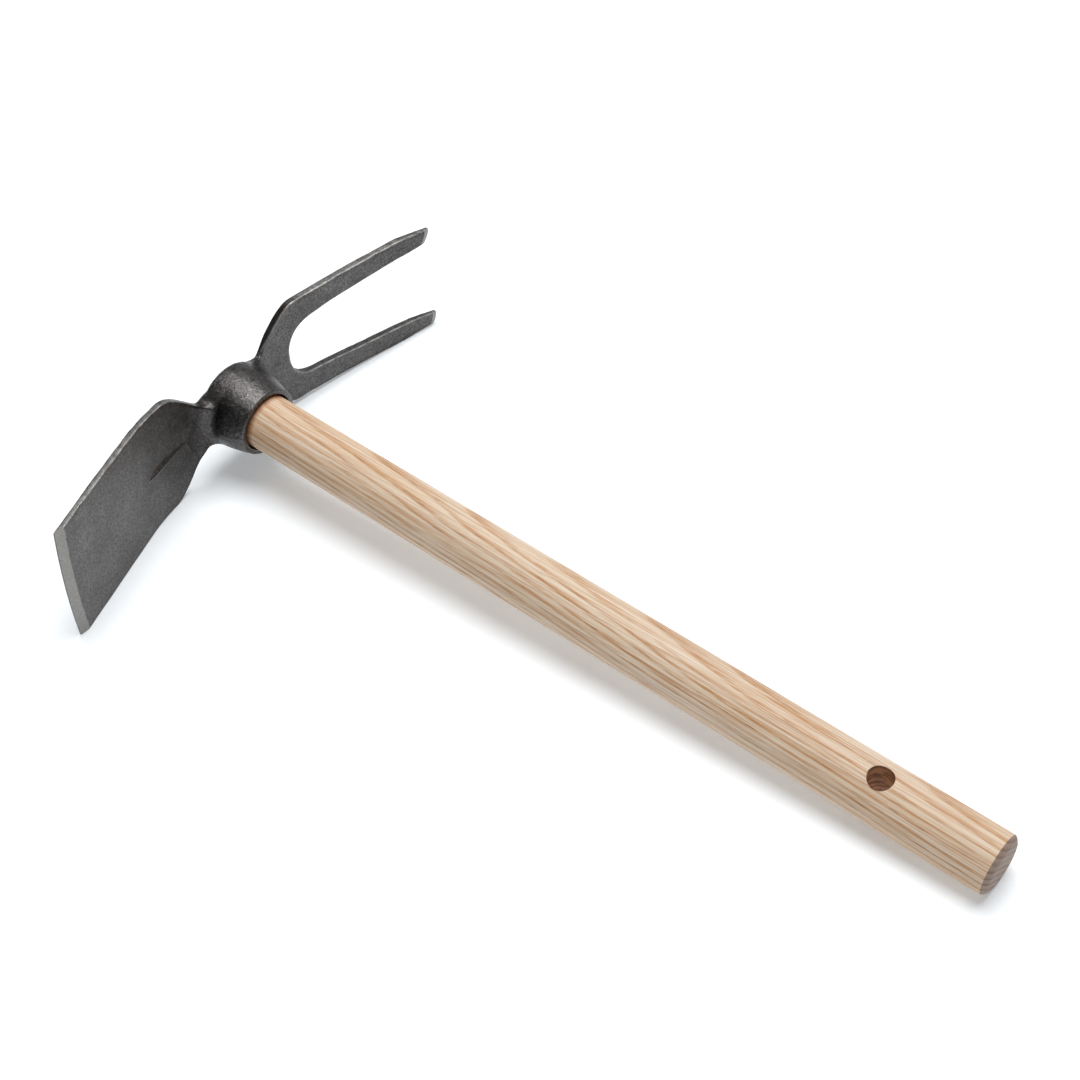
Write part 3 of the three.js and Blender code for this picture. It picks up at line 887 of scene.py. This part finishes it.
def mark_edges(mesh, x, y, z, radius):
    """Where the plates are ground, bright along their edges from wear and painted highlight, and
    where shade is painted on their edge walls and beside their edges.
    """
    blade_depth, blade_along = in_plate(blade_face, x, -y)
    fork_depth, fork_along = in_plate(fork_face, x, y)
    on_blade, on_fork = y < 0, y > 0
    blade_ground = blade_along > blade_end(z) - BLADE_BEVEL - GROUND_MARGIN
    blade_ground &= blade_depth < BLADE_BEVEL_DEPTH + BLADE_GROUND_BELOW
    fork_ground = fork_along > fork_end(z) - FORK_BEVEL - GROUND_MARGIN
    fork_ground &= fork_depth < FORK_BEVEL_DEPTH + FORK_GROUND_BELOW
    ground = (blade_ground & on_blade) | (fork_ground & on_fork)
    mark(mesh, "ground", ground)

    prong = fork_side(fork_along, z)
    outer = np.where(on_fork, prong, np.where(on_blade, blade_side(blade_along, z), 0))
    side = np.where(on_fork, np.maximum(prong, -fork_gap(fork_along, z)), outer)
    depth = np.where(on_blade, blade_depth, fork_depth)
    corner = swell(side, 1.0, 0.0, CORNER_SIDE) * swell(depth, 1.0, 0.0, CORNER_DEPTH)
    wall = (outer > -WALL_MARGIN) & (radius > WALL_FROM) & ~ground
    lit_walls = np.where(on_blade, 1.0, smoothstep(y, *WALL_SHADE_FADE))
    # The walls' wear and painted highlight, strongest near the face.
    rubbed = wall * (WALL_WEAR_AND_SHEEN + swell(depth, *WEAR_AND_SHEEN_NEAR_FACE))
    wear_and_highlight = np.where(outer > -EDGE_BAND, lerp(corner, rubbed, lit_walls), corner)
    mark(mesh, "wear_and_highlight", wear_and_highlight * (radius > PLATE_FROM))
    on_face = (depth < FACE_DEPTH) & (radius > PLATE_FROM) & ~ground
    # Painted shade: a line on the face beside each long edge, and the fork root's edge walls.
    line = swell(outer, *EDGE_LINE) * on_face
    mark(mesh, "painted_edge_shade", lerp(wall & (depth > DARK_DEPTH), line, lit_walls))


def make_head():
    vertices, quads = head_mesh()
    piece = object_of("forged_head_detailed", forge_marks(vertices), quads)
    x, y, z = points_of(piece.data).T
    radius = np.hypot(y, z)
    mark_scale(piece.data, x, y, z, radius)
    mark_edges(piece.data, x, y, z, radius)
    place(piece, "forged_head", forged_steel())


# ---- Handle ----

COLUMNS = 96  # round the handle
ANGLES = [2 * math.pi * i / COLUMNS for i in range(COLUMNS)]
HOLE_COS, HOLE_SIN = math.cos(HOLE_TURN), math.sin(HOLE_TURN)
TENON_ROWS, GRIP_ROWS, REST_ROWS = 30, 240, 32
TENON_EASE, EASE_LENGTH = 1.2, 0.6  # how much its end thins, over what length
TENON_LOOSE = 0.3
PATCH_COLUMNS, PATCH_REACH, PATCH_STEP = 10, 9.0, 1.0  # the squares round the hang hole's mouths
PATCH_SHARES = (0.45, 0.75, 0.92, 1.0)
HOLE_ROUND = 0.2
HOLE_ROUND_TURNS = (35, 65, 90)
HOLE_ROWS = 26
DRILL_MARKS = (-0.05, 0.16)  # how far the hole's wall steps in and out
END_SHARES = (0.9, 0.75, 0.6, 0.45, 0.3, 0.15)


def handle_stations():
    """X and radius along the handle, from the tenon's end to the butt's edge."""
    before, after = HOLE_AT - PATCH_REACH, HOLE_AT + PATCH_REACH
    straight_end = HANDLE_BUTT - HANDLE_BUTT_ROUND
    tenon = np.linspace(TENON_TOP + EASE_LENGTH, EYE_MOUTH, TENON_ROWS)
    grip = np.linspace(EYE_MOUTH, before, GRIP_ROWS)[1:]
    patch = np.linspace(before, after, int(2 * PATCH_REACH / PATCH_STEP) + 1)[1:]
    rest = np.linspace(after, straight_end, REST_ROWS)[1:]
    stations = [(TENON_TOP, bore_radius(TENON_TOP) - TENON_EASE)]
    stations += [(x, bore_radius(x) - TENON_LOOSE) for x in tenon]
    stations += [(x, HANDLE_RADIUS) for x in np.concatenate([grip, patch, rest])]
    return stations + [(HANDLE_BUTT - back, HANDLE_RADIUS - drop) for back, drop in BUTT_EDGE]


def around(x, radius, angle):
    """A point of the handle's surface. Angle 0 is on the hang hole's axis."""
    across = radius * np.sin(angle)
    along = radius * np.cos(angle)
    return (x, across * HOLE_COS - along * HOLE_SIN, across * HOLE_SIN + along * HOLE_COS)


def side_of(point):
    """How far a point lies to the side of the hang hole's axis, across the handle."""
    return point[1] * HOLE_COS + point[2] * HOLE_SIN


def handle_mesh():
    vertices, faces, stations = [], [], handle_stations()
    for x, radius in stations:
        vertices += [around(x, radius, angle) for angle in ANGLES]
    first = next(i for i, (x, _) in enumerate(stations) if abs(x - (HOLE_AT - PATCH_REACH)) < 1e-6)
    last = first + int(2 * PATCH_REACH / PATCH_STEP)

    def at(row, column):
        return row * COLUMNS + column % COLUMNS

    half = COLUMNS // 2
    for row in range(len(stations) - 1):
        for column in range(COLUMNS):
            offset = (column + PATCH_COLUMNS) % half
            if first <= row < last and offset < 2 * PATCH_COLUMNS:
                continue
            corners = ((row, column), (row + 1, column), (row + 1, column + 1), (row, column + 1))
            faces.append(tuple(at(*corner) for corner in corners))
    rims = [hole_patch(vertices, faces, at, first, last, way) for way in (1, -1)]
    hole_wall(vertices, faces, *rims)
    close_end(vertices, faces, [at(0, c) for c in range(COLUMNS)], TENON_TOP, 0.0, False)
    rim = [at(len(stations) - 1, c) for c in range(COLUMNS)]
    close_end(vertices, faces, rim, stations[-1][0], HANDLE_BUTT - stations[-1][0], True)
    return vertices, faces


def stitch(faces, rows, flip):
    """Joins each ring of vertices to the next one, which lies inside it."""
    for outer, inner in zip(rows, rows[1:]):
        for k in range(len(outer)):
            n = (k + 1) % len(outer)
            quad = (outer[k], outer[n], inner[n], inner[k])
            faces.append(quad[::-1] if flip else quad)


def height_at(side):
    """Height of the handle's surface over a plane through its axis, that far to the side."""
    return math.sqrt(HANDLE_RADIUS**2 - side * side)


def hole_patch(vertices, faces, at, first, last, way):
    """Fills the square left round one mouth of the hang hole, and returns the hole's rim."""
    middle = 0 if way > 0 else COLUMNS // 2
    low, high = middle - PATCH_COLUMNS, middle + PATCH_COLUMNS
    ring = [at(first, c) for c in range(low, high)]
    ring += [at(r, high) for r in range(first, last)]
    ring += [at(last, c) for c in range(high, low, -1)]
    ring += [at(r, low) for r in range(last, first, -1)]
    flat = [(vertices[i][0] - HOLE_AT, side_of(vertices[i])) for i in ring]
    ways = [(u / math.hypot(u, v), v / math.hypot(u, v)) for u, v in flat]
    rim_radius = HOLE_RADIUS + HOLE_ROUND

    def add(u, v, drop=0.0):
        up = way * (height_at(v) - drop)
        vertices.append((HOLE_AT + u, v * HOLE_COS - up * HOLE_SIN, v * HOLE_SIN + up * HOLE_COS))
        return len(vertices) - 1

    rows = [ring]
    for share in PATCH_SHARES:
        row = []
        for (u, v), (a, b) in zip(flat, ways):
            row.append(add(lerp(u, a * rim_radius, share), lerp(v, b * rim_radius, share)))
        rows.append(row)
    for degrees in HOLE_ROUND_TURNS:
        turn = math.radians(degrees)
        now = rim_radius - HOLE_ROUND * math.sin(turn)
        drop = HOLE_ROUND * (1 - math.cos(turn))
        row = []
        for a, b in ways:
            sink = drop + height_at(b * now) - height_at(b * rim_radius)
            row.append(add(a * now, b * now, sink))
        rows.append(row)
    stitch(faces, rows, way > 0)
    return rows[-1]


def hole_wall(vertices, faces, top, bottom):
    """Joins the two rims of the hang hole. The drill's marks are shallow rings."""

    def flat_place(i):
        return round(vertices[i][0], 4), round(side_of(vertices[i]), 4)

    partner = {flat_place(i): i for i in bottom}
    pairs = [(t, partner[flat_place(t)]) for t in top]
    random = np.random.default_rng(SEED + 3)
    rows = [[t for t, _ in pairs]]
    for step in range(1, HOLE_ROWS):
        share = step / HOLE_ROWS
        mark_depth = random.uniform(*DRILL_MARKS)
        row = []
        for t, b in pairs:
            point = lerp(np.array(vertices[t]), np.array(vertices[b]), share)
            side = side_of(point)
            away = np.array([point[0] - HOLE_AT, side * HOLE_COS, side * HOLE_SIN])
            vertices.append(tuple(point + away / np.linalg.norm(away) * mark_depth))
            row.append(len(vertices) - 1)
        rows.append(row)
    rows.append([b for _, b in pairs])
    for outer, inner in zip(rows, rows[1:]):
        for k in range(len(outer)):
            n = (k + 1) % len(outer)
            faces.append((outer[k], inner[k], inner[n], outer[n]))


def close_end(vertices, faces, rim, x, bulge, forward):
    """Closes an end with rings that shrink to its middle, slightly domed."""
    rows, radius = [rim], math.hypot(vertices[rim[0]][1], vertices[rim[0]][2])
    for share in END_SHARES:
        lift = bulge * (1 - share**2)
        vertices += [around(x + lift, radius * share, angle) for angle in ANGLES]
        rows.append(range(len(vertices) - COLUMNS, len(vertices)))
    vertices.append((x + bulge, 0.0, 0.0))
    centre = len(vertices) - 1
    stitch(faces, rows, forward)
    for k in range(COLUMNS):
        triangle = (rows[-1][k], rows[-1][(k + 1) % COLUMNS], centre)
        faces.append(triangle[::-1] if forward else triangle)


ASH = (srgb(224, 205, 181), srgb(194, 147, 103), srgb(142, 95, 60))
BEECH = (srgb(196, 156, 114), srgb(168, 122, 80), srgb(120, 82, 52))
BEECH_SCALE = 1.6
ENDS = (srgb(162, 139, 124), srgb(122, 100, 86))  # end grain, between the growth rings and on them

SANDED_WAVES = (0.05, 60, 10)
SANDED_DOWN, SANDED_TOP = 0.05, 0.04  # how much sanding takes off, and the highest wave left
RUBBED_FROM, RUBBED_TO = (-10.0, -4.0), (0.4, 2.8)  # from the eye's mouth
TENON_END = 0.3  # how far the colour of end grain reaches from the tenon's end


def make_handle():
    vertices, faces = handle_mesh()
    piece = object_of("ash_handle_detailed", vertices, faces)
    cut_slots(piece, [KERF, WOOD_WEDGE, STEEL_WEDGE])
    points = points_of(piece.data)
    x = points[:, 0]
    radius = np.hypot(points[:, 1], points[:, 2])
    sanded = uneven(points, *SANDED_WAVES, SEED + 4) * (x > EYE_MOUTH)
    sanded_to = radius - SANDED_DOWN + np.minimum(sanded, SANDED_TOP)
    keep = np.where(radius > HANDLE_RADIUS - 0.2, sanded_to / radius, 1.0)
    points[:, 1:] *= keep[:, None]
    piece.data.vertices.foreach_set("co", points.ravel())
    butt = x > HANDLE_BUTT - BUTT_EDGE[0][0] + 0.01
    mark(piece.data, "end", butt | (x < TENON_TOP + TENON_END))
    drilled = np.hypot(x - HOLE_AT, side_of(points.T)) < HOLE_RADIUS + HOLE_ROUND - 0.01
    mark(piece.data, "drilled", drilled & (radius < HANDLE_RADIUS - 0.1))
    past = x - EYE_MOUTH
    mark(piece.data, "rubbed", smoothstep(past, *RUBBED_FROM) * (1 - smoothstep(past, *RUBBED_TO)))
    place(piece, "ash_handle", ash_wood("ash_wood", *ASH, ENDS), sharp=35.0)


# ---- Wedges ----

BOX_FACES = ((0, 1, 2, 3), (7, 6, 5, 4), (0, 4, 5, 1), (1, 5, 6, 2), (2, 6, 7, 3), (3, 7, 4, 0))
WEDGE_BEVEL = 0.25
STRUCK_WAVES, STRUCK_OUT, STRUCK_REACH = (0.12, 6, 12), 0.05, 1.0


def wedge_mesh(name, sizes, grow=0.0, bevel=WEDGE_BEVEL):
    """A tapered bar driven into the tenon. Grow makes it bigger all round, for its slot."""
    shape = bmesh.new()
    corners = []
    ends = (
        (TENON_TOP - sizes["stand"] - grow, sizes["thick"], sizes["width"]),
        (TENON_TOP + sizes["depth"] + grow, sizes["tip"], sizes["tip_width"]),
    )
    for x, thick, width in ends:
        for a, b in ((-1, -1), (1, -1), (1, 1), (-1, 1)):
            thin, wide = a * (thick / 2 + grow), b * (width / 2 + grow)
            corner = (x, thin, wide) if sizes["upright"] else (x, wide, thin)
            corners.append(shape.verts.new(corner))
    for face in BOX_FACES:
        shape.faces.new([corners[i] for i in face])
    bmesh.ops.recalc_face_normals(shape, faces=shape.faces)
    if bevel:
        bmesh.ops.bevel(shape, geom=shape.edges[:], offset=bevel, segments=2, affect="EDGES")
    mesh = bpy.data.meshes.new(name)
    shape.to_mesh(mesh)
    shape.free()
    return linked(name, mesh)


def cut_slots(piece, slots):
    """Cuts a slot for each of these sizes out of a piece."""
    for sizes in slots:
        cutter = wedge_mesh("cutter", sizes, SLOT_GAP, bevel=0)
        cut = piece.modifiers.new("slot", "BOOLEAN")
        cut.operation, cut.solver, cut.object = "DIFFERENCE", "EXACT", cutter
        bpy.context.view_layer.update()
        graph = bpy.context.evaluated_depsgraph_get()
        mesh = bpy.data.meshes.new_from_object(piece.evaluated_get(graph))
        piece.modifiers.clear()
        whole, piece.data = piece.data, mesh
        bpy.data.meshes.remove(whole)
        bpy.data.meshes.remove(cutter.data)


def hammered(piece):
    """The end that was struck with a hammer is a little uneven."""
    points = points_of(piece.data)
    past = TENON_TOP - points[:, 0]
    struck = smoothstep(past, -STRUCK_REACH, STRUCK_REACH)
    points[:, 0] += np.maximum(uneven(points, *STRUCK_WAVES, SEED + 5), -STRUCK_OUT) * struck
    piece.data.vertices.foreach_set("co", points.ravel())
    mark(piece.data, "end", struck)


def make_wedges():
    wood = wedge_mesh("wood_wedge_detailed", WOOD_WEDGE)
    cut_slots(wood, [STEEL_WEDGE])
    hammered(wood)
    place(wood, "wood_wedge", ash_wood("beech_wood", *BEECH, ENDS, BEECH_SCALE))
    steel = wedge_mesh("steel_wedge_detailed", STEEL_WEDGE)
    hammered(steel)
    place(steel, "steel_wedge", wedge_steel())


# ---- Studio ----

FLOOR_REACH = 6.0
TABLE_GLOW = 0.26  # the table is a little lit from below, so that the shadows stay light
WORLD_STRENGTH = 0.18
KEY_AT, KEY_SIZE, KEY_POWER = (-0.10, 0.45, 3.0), 2.3, 92.0
BACK_AT, BACK_SIZE, BACK_POWER = (-0.5, 1.7, 0.9), 1.0, 3.0


def make_floor():
    r = FLOOR_REACH
    floor = object_of("floor", [(-r, -r, 0), (r, -r, 0), (r, r, 0), (-r, r, 0)], [(0, 1, 2, 3)])
    floor.data.materials.append(studio_floor())


def area_light(name, at, size, power):
    data = bpy.data.lights.new(name, "AREA")
    data.shape = "DISK"
    data.size = size
    data.energy = power
    light = linked(name, data)
    light.location = at
    light.rotation_mode = "QUATERNION"
    light.rotation_quaternion = (-Vector(at)).to_track_quat("-Z", "Y")


def make_lights():
    world = bpy.data.worlds.new("studio")
    bpy.context.scene.world = world
    world.use_nodes = True
    background = world.node_tree.nodes["Background"]
    background.inputs["Color"].default_value = (1, 1, 1, 1)
    background.inputs["Strength"].default_value = WORLD_STRENGTH
    area_light("key", KEY_AT, KEY_SIZE, KEY_POWER)
    area_light("back", BACK_AT, BACK_SIZE, BACK_POWER)
    bpy.context.scene.view_settings.view_transform = "Standard"


# ---- The scene ----

make_camera()
make_floor()
make_lights()
make_head()
make_handle()
make_wedges()
